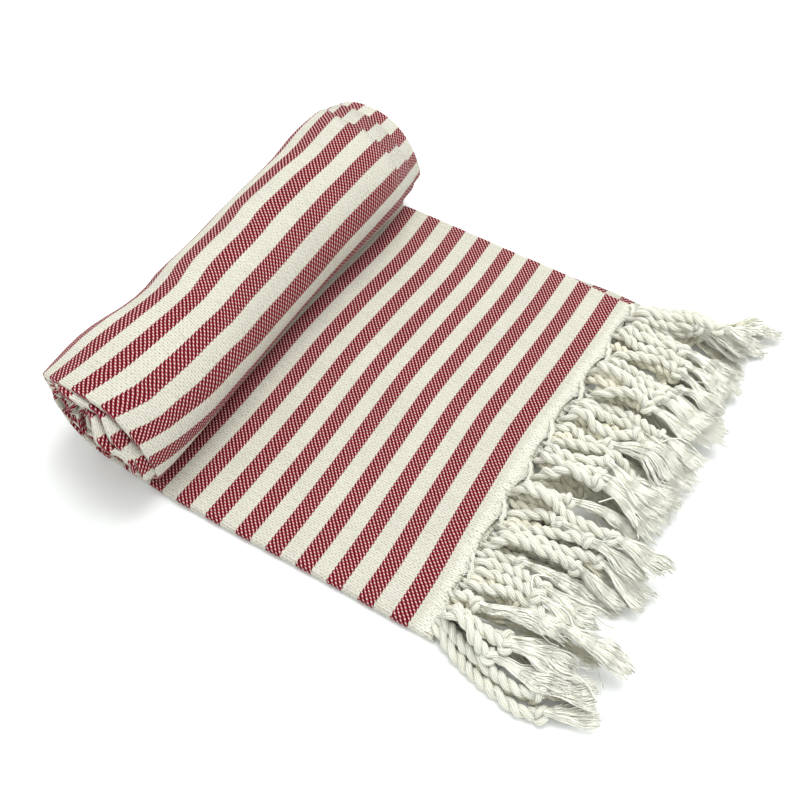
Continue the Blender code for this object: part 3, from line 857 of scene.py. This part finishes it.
KNOT_SIZE = 0.00108
KNOT_RADIUS = 0.0015  # of the cord in a knot
KNOT_POINTS = 44
KNOT_TURN = 2.06 * math.pi  # a little more than all the way, so that its ends meet
KNOT_DEPTH = 1.5  # along the cord, in knot sizes
KNOT_FLATNESS = 0.85
KNOT_SIZES = (0.88, 1.12)  # from the smallest to the largest, as shares of the size
KNOT_LEAN = 0.30  # how far its axis strays from the cord's
KNOT_LOBES = {"lobes": 4, "lobe_depth": 0.08, "lobe_twist": 600.0}

TASSEL_LOCKS = 9  # bundles of yarns that wave together
LOCK_YARNS = 13
LOCKS_UNDER = 4
LOCK_YARNS_UNDER = 6
STRAY_YARNS = 6  # in each tassel
TASSEL_STEP = 0.0020
TASSEL_RADII = (0.0024, 0.0030)  # at the knot and at the tip
TASSEL_START = 0.28  # share of the tassel over which it comes down from its knot
TASSEL_PRESS, TASSEL_SLOPE = 0.0014, 0.28  # as for a cord
TASSEL_LEAST = 0.85  # least share of its own height that it keeps next to its knot
TASSEL_COVER = (0.95, 0.9)  # shares of its height and radius that what comes after it lies on
# Waves of a lock: how far it swings, the length of a wave and how far its yarns are out of step
LOCK_SWING, LOCK_WAVE, LOCK_DISORDER = 0.0008, 0.017, 0.35
YARN_SWING, YARN_WAVE, YARN_DISORDER = 0.00035, 0.0100, 0.9
# How far locks, and the yarns of a lock, lie apart at the knot, and how much more where they have opened
LANE_WIDTH = (0.0011, 0.0075)
YARN_SPREAD = (0.0006, 0.0012)
TASSEL_DEPTH = (0.0021, -0.0009)
LOCK_OPENING = (0.0, 0.85)  # shares of the tassel between which they open
# How unevenly locks lie to the sides and yarns in their lock, and how high the lowest and highest locks lie
LOCK_STRAY, YARN_STRAY = 0.42, 0.65
LOCK_LEVELS = (-0.8, 0.9)
# Where yarns start, and how far locks and their yarns reach, as shares of the tassel and of its lock
YARN_START = 0.02
LOCK_REACH = (0.78, 1.0)
YARN_REACH = (0.86, 1.0)
YARN_SIZES = (0.85, 1.3)  # from the thinnest to the thickest, as shares of the radius
# Stray yarns: how far along the tassel they end, and how far they bow, swing and rise
STRAY_REACH = (0.5, 1.05)
STRAY_BOW, STRAY_SWING, STRAY_RISE = 0.006, 0.0015, 0.003

UNDER_CORDS = 44  # of the lower layers of cloth
UNDER_FIRST, UNDER_SPAN = 0.9, 23.2  # across the cloth, in centimetres
UNDER_START = 1.2  # "along", in centimetres, from where they are shorter than the ones above
UNDER_LENGTHS = (0.78, 1.0)  # from the shortest to the longest, as shares of the one above
UNDER_STRAY = 0.25  # to either side, in centimetres

FAN_YARNS = 16  # drawn together to each tooth
FAN_REACH = 0.0070  # to either side of it
FAN_END = (0.0030, 0.0022)  # where they meet: past the tooth, and to either side of it
FAN_STRAY = 0.05  # to either side, as a share of the reach
FAN_SET_BACK = (0.0006, 0.0016)  # how far inside the edge they start
FAN_BOW = (-0.0006, 0.0008)  # towards the fringe, in the middle
FAN_ARCH = 0.0002  # up or down, in the middle
FAN_SINK = (0.0001, 0.0004)  # under the cloth's top at their start, and how much further at their end
FAN_YARN_RADIUS = 0.00026
LOCK_RADIUS = 0.0013
LOCK_SIDES = 10
LOCK_LOBES = {"lobes": 4, "lobe_depth": 0.06, "lobe_twist": 900.0}
# The strand that locks a bundle, from its tooth: x, y and height over the cloth
LOCK_STRAND = (
    (-0.0022, 0.0062, -0.0002),
    (-0.0008, 0.0035, 0.0008),
    (0.0010, 0.0000, 0.0012),
    (0.0022, -0.0045, 0.0006),
    (0.0028, -0.0085, -0.0012),
)

# Threads that have come loose and lie over the fringe, in the units of the cords
LOOSE_THREADS = (
    ((4.9, 5.0), (4.2, 4.5), (4.4, 3.8), (5.2, 3.5), (6.3, 3.5), (6.9, 2.9)),
    ((5.6, 4.1), (6.6, 4.6), (7.8, 4.4), (8.6, 4.7)),
    ((5.0, 9.9), (5.9, 10.5), (6.8, 10.1), (7.4, 9.3)),
    ((6.2, 15.0), (7.2, 15.9), (8.4, 15.8), (9.3, 16.2)),
    ((6.0, 1.6), (7.0, 1.1), (8.1, 1.4), (9.0, 1.0)),
)
LOOSE_THREAD_RADIUS = 0.00035
LOOSE_THREAD_SIDES = 6
LOOSE_THREAD_PRESS, LOOSE_THREAD_SLOPE = -0.0003, 0.4  # as for a cord, but a little above what is below

# The fringe's pieces, and the yarn of each
FRINGE_PIECES = {
    "fringe_cords_1": "cords",
    "fringe_cords_2": "cords",
    "fringe_under_1": "under",
    "fringe_under_2": "under",
    "fringe_tassels_1": "tassels",
    "fringe_tassels_2": "tassels",
    "fringe_tassels_3": "tassels",
    "fringe_edge": "cords",
}


def lengths_along(path):
    """The length of a path up to each of its points."""
    return np.concatenate([[0.0], np.cumsum(np.linalg.norm(np.diff(path, axis=0), axis=1))])


def carried_frame(path):
    """Two directions across a path at each of its points, carried along it without twisting."""
    tangents = unit(np.gradient(path, axis=0))
    up = np.array([0.0, 0.0, 1.0])
    if abs(tangents[0] @ up) > 0.95:
        up = np.array([0.0, 1.0, 0.0])
    normal = unit(up - tangents[0] * (tangents[0] @ up))
    normals = []
    for tangent in tangents:
        normal = normal - tangent * (tangent @ normal)
        normal = normal / max(np.linalg.norm(normal), 1e-9)
        normals.append(normal)
    normals = np.array(normals)
    return normals, np.cross(tangents, normals)


def curve_through(points, step):
    """Evenly spaced points on a smooth curve through the given ones."""
    points = np.asarray(points, float)
    lengths = lengths_along(points)
    rows = [{"at": at, **dict(enumerate(point))} for at, point in zip(lengths, points)]
    count = max(4, int(round(lengths[-1] / step)) + 1)
    at = np.linspace(0.0, lengths[-1], count)
    return np.stack([smooth(rows, "at", k, at) for k in range(points.shape[1])], axis=1)


def on_strip(places):
    """Places given in the units of the cords, in the strip's frame."""
    places = np.array(places) / 100.0
    places[:, 0] += ALONG_AT_EDGE
    return places


def read_path(points, at):
    """Points at shares of a path from 0 to 1."""
    shares = np.linspace(0.0, 1.0, len(points))
    return np.stack([np.interp(at, shares, points[:, k]) for k in range(points.shape[1])], axis=1)


class Strands:
    """Collects tubes along paths, to make one mesh of them."""

    def __init__(self):
        self.points, self.quads, self.uvs, self.count = [], [], [], 0

    def tube(self, path, radii, sides, lobes=0, lobe_depth=0.0, lobe_twist=0.0):
        """A tube with closed ends. radii has a radius for each point of the path."""
        normal, binormal = carried_frame(path)
        length = lengths_along(path)
        angle = 2 * math.pi * np.arange(sides) / sides
        swell = 1.0 + lobe_depth * np.cos(lobes * angle[None, :] - lobe_twist * length[:, None])
        radius = np.asarray(radii)[:, None] * swell
        cosine, sine = np.cos(angle)[None, :, None], np.sin(angle)[None, :, None]
        ring = normal[:, None] * cosine + binormal[:, None] * sine
        points = path[:, None] + ring * radius[..., None]
        rows = len(path)
        index = self.count + np.arange(rows * sides).reshape(rows, sides)
        after = np.roll(index, -1, axis=1)
        quads = np.stack([index[:-1], after[:-1], after[1:], index[1:]], axis=-1).reshape(-1, 4)
        caps = []
        for k in range(sides // 2 - 1):
            near, far = [k, sides - 1 - k, sides - 2 - k, k + 1], [k, k + 1, sides - 2 - k, sides - 1 - k]
            caps += [index[0, near], index[-1, far]]
        self.points.append(points.reshape(-1, 3))
        self.quads += [quads, np.array(caps)]
        around = 2 * math.pi * np.arange(sides + 1) / sides * np.mean(radii)
        uvs = np.empty((rows - 1, sides, 4, 2))
        for corner, (row, place) in enumerate([(0, 0), (0, 1), (1, 1), (1, 0)]):
            uvs[:, :, corner, 0] = length[row : row + rows - 1, None]
            uvs[:, :, corner, 1] = around[None, place : place + sides]
        self.uvs += [uvs.reshape(-1, 2), np.zeros((len(caps) * 4, 2))]
        self.count += rows * sides

    def make(self, name, material):
        points, quads, uvs = [np.concatenate(parts) for parts in (self.points, self.quads, self.uvs)]
        obj = mesh_object(name, points, quads, uvs)
        obj.data.materials.append(material)
        return obj


class Terrain:
    """Height of what already lies there, on a grid, so that the next cord lies on it."""

    CELL = 0.0005
    LOW = np.array([-0.010, -0.045])
    HIGH = np.array([0.110, 0.300])

    def __init__(self):
        size = np.ceil((self.HIGH - self.LOW) / self.CELL).astype(int)
        self.height = np.zeros(size)

    def window(self, place, reach):
        centre = (place - self.LOW) / self.CELL
        low = np.maximum(np.floor(centre - reach / self.CELL).astype(int), 0)
        high = np.minimum(np.ceil(centre + reach / self.CELL).astype(int) + 1, self.height.shape)
        i, j = np.meshgrid(np.arange(low[0], high[0]), np.arange(low[1], high[1]), indexing="ij")
        distance = np.hypot(i - centre[0], j - centre[1]) * self.CELL
        return (slice(low[0], high[0]), slice(low[1], high[1])), distance

    def rest(self, path, radii, press, slope):
        """Heights at which a cord lies along the path. press is how far it sinks into what is below."""
        heights = []
        for place, radius in zip(path, radii):
            window, distance = self.window(place, radius)
            ground = self.height[window]
            inside = distance < radius
            bulge = np.sqrt(np.maximum(radius**2 - distance**2, 0.0))
            lift = np.where(inside & (ground > 0), ground + bulge, 0.0)
            top = lift.max() if lift.size else 0.0
            heights.append(max(radius, top - press if top > 0 else 0.0))
        heights = np.array(heights)
        step = np.linalg.norm(np.diff(path, axis=0), axis=1).mean()
        reach = np.abs(np.arange(len(heights))[:, None] - np.arange(len(heights))[None, :]) * step
        heights = (heights[None, :] - slope * reach).max(axis=1)
        kernel = np.hanning(9)[1:-1]
        kernel = kernel / kernel.sum()
        padded = np.pad(heights, len(kernel) // 2, mode="edge")
        return np.maximum(np.convolve(padded, kernel, mode="valid"), np.asarray(radii))

    def cover(self, path, heights, radii):
        for place, height, radius in zip(path, heights, radii):
            window, distance = self.window(place, radius)
            top = height + np.sqrt(np.maximum(radius**2 - distance**2, 0.0))
            ground = self.height[window]
            self.height[window] = np.where(distance < radius, np.maximum(ground, top), ground)


def cord_centreline(cord, terrain):
    """The route of a cord from the cloth's edge to its knot, with its heights."""
    root_along, root_across = cord["route"][0]
    places = on_strip([(root_along - ROOT_LENGTH, root_across), *cord["route"], cord["knot"]])
    path = curve_through(places, PLY_STEP_UNDER if cord["level"] < 0 else PLY_STEP)
    length = lengths_along(path)
    radii = np.full(len(path), CORD_RADIUS)
    heights = terrain.rest(path, radii, CORD_PRESS, CORD_SLOPE)
    start = ROOT_HEIGHTS[cord["level"] + 1]
    droop = start + (CORD_RADIUS - start) * ease(0.0, ROOT_DROOP, length)
    keep = 1.0 - ease(0.0, ROOT_KEEP, length)
    heights = np.maximum(heights * (1 - keep) + start * keep, droop)
    terrain.cover(path, heights, radii)
    return np.column_stack([path, heights]), length


def add_plies(strands, path, length, turn_start, sides):
    """Two plies wound round each other along the path."""
    normal, binormal = carried_frame(path)
    taper = ROOT_SIZE + (1.0 - ROOT_SIZE) * ease(0.0, ROOT_GROWTH, length)
    uneven = ripple(length, (0.5, 190.0, 3 * turn_start), (0.25, 430.0, 5 * turn_start))
    for ply in range(2):
        angle = turn_start + ply * math.pi + 2 * math.pi * length / CORD_PITCH + uneven
        side = normal * np.cos(angle)[:, None] + binormal * np.sin(angle)[:, None]
        centre = path + PLY_OFFSET * taper[:, None] * side
        centre[:, 2] = np.maximum(centre[:, 2], LEAST_PLY_HEIGHT)
        wobble = 1.0 + ripple(length, (0.05, 900.0, ply * 2.0 + turn_start), (0.05, 330.0, ply))
        strands.tube(centre, PLY_RADIUS * wobble * taper, sides, **PLY_LOBES)


def add_knot(strands, centre, direction, sides):
    """An overhand knot drawn tight: twice round the cord's axis, and three times in and out."""
    axis = unit(unit(direction) + rng.normal(0.0, KNOT_LEAN, 3))
    side = unit(np.cross(axis, np.array([0.0, 0.0, 1.0])))
    up = np.cross(side, axis)
    size = KNOT_SIZE * rng.uniform(*KNOT_SIZES)
    turn = np.linspace(0.0, KNOT_TURN, KNOT_POINTS) + rng.uniform(0.0, 2 * math.pi)
    out = size * (2.0 + np.cos(3 * turn))
    path = centre + np.outer(KNOT_DEPTH * size * np.sin(3 * turn), axis)
    path = path + np.outer(out * np.cos(2 * turn), side)
    path = path + np.outer(KNOT_FLATNESS * out * np.sin(2 * turn), up)
    path[:, 2] = np.maximum(path[:, 2], KNOT_RADIUS)
    radii = KNOT_RADIUS * (1.0 + 0.08 * np.sin(5 * turn))
    strands.tube(path, radii, sides, **KNOT_LOBES)


def add_lock(strands, middle, sideways, total, yarns):
    """A lock of a tassel, whose yarns wave together along its middle line, total metres long."""
    lane = rng.normal(0.0, LOCK_STRAY)
    level = rng.uniform(*LOCK_LEVELS)
    lock_reach = rng.uniform(*LOCK_REACH)
    phase = rng.uniform(0.0, 2 * math.pi, 2)
    swing = rng.uniform(0.2, 1.0) * LOCK_SWING
    for _ in range(yarns):
        t = np.linspace(YARN_START, lock_reach * rng.uniform(*YARN_REACH), YARN_POINTS)
        centre, side = read_path(middle, t), read_path(sideways, t)
        opening = ease(*LOCK_OPENING, t)
        along = 2 * math.pi * t * total
        wave = swing * np.sin(along / LOCK_WAVE + phase[0] + rng.normal(0.0, LOCK_DISORDER))
        wave = wave + YARN_SWING * np.sin(along / YARN_WAVE + phase[1] + rng.normal(0.0, YARN_DISORDER))
        own_side, own_up = rng.normal(0.0, YARN_STRAY, 2)
        spread = (LANE_WIDTH[0] + LANE_WIDTH[1] * opening) * lane
        spread = spread + (YARN_SPREAD[0] + YARN_SPREAD[1] * opening) * own_side
        centre = centre + side * (spread + wave * ease(0.03, 0.35, t))[:, None]
        rise = (TASSEL_DEPTH[0] + TASSEL_DEPTH[1] * opening) * (level * 0.6 + own_up * 0.5)
        centre[:, 2] = np.maximum(centre[:, 2] + rise, LEAST_YARN_HEIGHT)
        radii = YARN_RADIUS * rng.uniform(*YARN_SIZES) * (1.1 - 0.45 * t**3)
        strands.tube(centre, radii, YARN_SIDES)


def add_stray_yarn(strands, middle, sideways):
    """A yarn that leaves its tassel in a bow, and may reach past its tip."""
    t = np.linspace(YARN_START, rng.uniform(*STRAY_REACH), YARN_POINTS)
    centre, side = read_path(middle, np.minimum(t, 1.0)), read_path(sideways, np.minimum(t, 1.0))
    bow = rng.normal(0.0, STRAY_BOW) * t**2
    bow = bow + rng.normal(0.0, STRAY_SWING) * np.sin(2 * math.pi * t * rng.uniform(0.8, 2.0))
    centre = centre + side * bow[:, None]
    centre[:, 2] = np.maximum(centre[:, 2] + rng.uniform(0.0, STRAY_RISE) * t, LEAST_YARN_HEIGHT)
    strands.tube(centre, YARN_RADIUS * (1.0 - 0.3 * t), YARN_SIDES)


def add_tassel(strands, cord, terrain, start_height, locks, lock_yarns):
    """Locks of yarns that spread from the knot to the tip, uneven in length and wavy."""
    line = curve_through(on_strip([cord["knot"], *cord["tassel"]]), TASSEL_STEP)
    share = np.linspace(0.0, 1.0, len(line))
    radii = TASSEL_RADII[0] + (TASSEL_RADII[1] - TASSEL_RADII[0]) * share
    heights = terrain.rest(line, radii, TASSEL_PRESS, TASSEL_SLOPE)
    keep = 1.0 - ease(0.0, TASSEL_START, share)
    heights = np.maximum(heights * TASSEL_LEAST, heights * (1 - keep) + start_height * keep)
    middle = np.column_stack([line, heights])
    tangent = unit(np.gradient(middle, axis=0))
    sideways = unit(np.cross(tangent, np.array([0.0, 0.0, 1.0])))
    total = lengths_along(line)[-1]
    for _ in range(locks):
        add_lock(strands, middle, sideways, total, lock_yarns)
    for _ in range(STRAY_YARNS):
        add_stray_yarn(strands, middle, sideways)
    terrain.cover(line, heights * TASSEL_COVER[0], radii * TASSEL_COVER[1])


def under_cords():
    """Cords of the lower layers: like the nearest ones above them, but shorter and a little aside."""
    cords = []
    for number in range(UNDER_CORDS):
        start_y = UNDER_FIRST + number * UNDER_SPAN / (UNDER_CORDS - 1)
        model = min(CORDS, key=lambda above: abs(above["route"][0][1] - start_y))
        shift = start_y - model["route"][0][1] + rng.uniform(-UNDER_STRAY, UNDER_STRAY)
        stretch = rng.uniform(*UNDER_LENGTHS)
        places = (*model["route"], model["knot"], *model["tassel"])
        places = [(UNDER_START + (along - UNDER_START) * stretch, across + shift) for along, across in places]
        cords.append(make_cord(-1, places))
    return cords


def add_edge_yarns(strands):
    """Yarns of the cloth drawn together to each tooth, and the strand that locks each bundle."""
    top = FLAT_THICKNESS - CLOTH / 2
    for number, tooth in enumerate(TEETH):
        x, y = tooth["x"], tooth["y"]
        for k in range(FAN_YARNS):
            across = (k + 0.5) / FAN_YARNS * 2 - 1 + rng.uniform(-FAN_STRAY, FAN_STRAY)
            start_y = y + across * FAN_REACH
            start_x = float(scallop(np.array([start_y]))[0]) - rng.uniform(*FAN_SET_BACK)
            start = np.array([start_x, start_y])
            end = np.array([x + FAN_END[0], y + across * FAN_END[1]])
            middle = start * 0.5 + end * 0.5 + np.array([rng.uniform(*FAN_BOW), 0.0])
            path = curve_through([start, middle, end], 0.0012)
            share = np.linspace(0.0, 1.0, len(path))
            arch = FAN_ARCH * np.sin(math.pi * share) * rng.uniform(-1.0, 1.0)
            height = top - FAN_SINK[0] + arch - FAN_SINK[1] * share**2
            strands.tube(np.column_stack([path, height]), np.full(len(path), FAN_YARN_RADIUS), YARN_SIDES)
        lock = [(x + dx, y + dy, top + dz) for dx, dy, dz in LOCK_STRAND]
        path = curve_through(lock, 0.0007)
        share = np.linspace(0.0, 1.0, len(path))
        path[:, 0] += 0.0003 * np.sin(2 * math.pi * 3.3 * share + number)
        fullness = 0.75 + 0.25 * np.sin(math.pi * share)
        radii = LOCK_RADIUS * fullness * (1 + 0.08 * np.sin(40 * share + number))
        strands.tube(path, radii, LOCK_SIDES, **LOCK_LOBES)


def add_loose_threads(strands, terrain):
    for thread in LOOSE_THREADS:
        line = curve_through(on_strip(thread), 0.0010)
        radii = np.full(len(line), LOOSE_THREAD_RADIUS)
        heights = terrain.rest(line, radii, LOOSE_THREAD_PRESS, LOOSE_THREAD_SLOPE)
        strands.tube(np.column_stack([line, heights]), radii, LOOSE_THREAD_SIDES)


def make_fringe():
    terrain = Terrain()
    groups = {name: Strands() for name in FRINGE_PIECES}
    for number, cord in enumerate(under_cords() + CORDS):
        under = cord["level"] < 0
        below = f"fringe_under_{1 + number % 2}"
        cords = groups[below if under else f"fringe_cords_{1 + number % 2}"]
        tassels = groups[below if under else f"fringe_tassels_{1 + number % 3}"]
        sides = PLY_SIDES_UNDER if under else PLY_SIDES
        path, length = cord_centreline(cord, terrain)
        add_plies(cords, path, length, rng.uniform(0, 2 * math.pi), sides)
        add_knot(cords, path[-1], path[-1] - path[-4], sides - 4)
        locks, yarns = (LOCKS_UNDER, LOCK_YARNS_UNDER) if under else (TASSEL_LOCKS, LOCK_YARNS)
        add_tassel(tassels, cord, terrain, path[-1, 2], locks, yarns)
    add_edge_yarns(groups["fringe_edge"])
    add_loose_threads(groups["fringe_tassels_1"], terrain)
    yarns = {name: yarn_material(f"yarn_{name}", **looks) for name, looks in YARNS.items()}
    return [strands.make(name, yarns[FRINGE_PIECES[name]]) for name, strands in groups.items()]


# ---------------------------------------------------------------- floor, light and camera


FLOOR_COLOUR = (0.905, 0.915, 0.910)
FLOOR_SIZE = 8.0
FLOOR_GAP = 0.0002  # under the cloth
SKY_COLOUR = (0.965, 0.990, 0.985)
SKY_STRENGTH = 1.08
KEY_PLACE = (0.00, 0.42, 1.60)
KEY_TARGET = (0.00, 0.00, 0.00)
KEY_SIZE = 1.2
KEY_POWER = 21.0


def make_floor():
    bpy.ops.mesh.primitive_plane_add(size=FLOOR_SIZE, location=(0.0, 0.0, -FLOOR_GAP))
    floor = bpy.context.object
    floor.name = "floor"
    n = Nodes("floor")
    n.surface(Base_Color=(*FLOOR_COLOUR, 1.0), Roughness=0.9, Specular_IOR_Level=0.1)
    floor.data.materials.append(n.material)


def make_lights():
    world = bpy.data.worlds.new("studio")
    bpy.context.scene.world = world
    world.use_nodes = True
    background = world.node_tree.nodes["Background"]
    background.inputs["Color"].default_value = (*SKY_COLOUR, 1.0)
    background.inputs["Strength"].default_value = SKY_STRENGTH
    light = bpy.data.lights.new("key", "AREA")
    light.shape = "SQUARE"
    light.size = KEY_SIZE
    light.energy = KEY_POWER
    key = bpy.data.objects.new("key", light)
    bpy.context.scene.collection.objects.link(key)
    key.location = KEY_PLACE
    key.rotation_euler = (Vector(KEY_TARGET) - Vector(KEY_PLACE)).to_track_quat("-Z", "Y").to_euler()


CAMERA_PLACE = (0.09084, -0.21872, 0.45416)  # in the strip's frame
CAMERA_ELEVATION = 50.533
CAMERA_AZIMUTH = 27.2305
CAMERA_ROLL = 4.050
CAMERA_LENS = 50.35


def make_camera():
    elevation, azimuth = math.radians(CAMERA_ELEVATION), math.radians(CAMERA_AZIMUTH)
    roll = math.radians(CAMERA_ROLL)
    level = math.cos(elevation)
    forward = Vector((-math.sin(azimuth) * level, math.cos(azimuth) * level, -math.sin(elevation)))
    right = Vector((math.cos(azimuth), math.sin(azimuth), 0.0))
    up = right.cross(forward)
    image_right = math.cos(roll) * right + math.sin(roll) * up
    image_up = -math.sin(roll) * right + math.cos(roll) * up
    camera_data = bpy.data.cameras.new("camera")
    camera_data.lens = CAMERA_LENS
    camera_data.sensor_width = 36.0
    camera_data.clip_start = 0.01
    camera = bpy.data.objects.new("camera", camera_data)
    bpy.context.scene.collection.objects.link(camera)
    turn = Matrix((image_right, image_up, -forward)).transposed().to_4x4()
    camera.matrix_world = Matrix.Translation(Vector(ORIGIN) + Vector(CAMERA_PLACE)) @ turn
    bpy.context.scene.camera = camera


# ---------------------------------------------------------------- the whole towel

make_camera()
make_floor()
make_lights()
cloth = make_cloth()
fringe = make_fringe()
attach(cloth, "root")
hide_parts("towel_cloth")
for piece in fringe:
    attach(piece, "root")
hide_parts("fringe")
bpy.context.scene.view_settings.view_transform = "Standard"
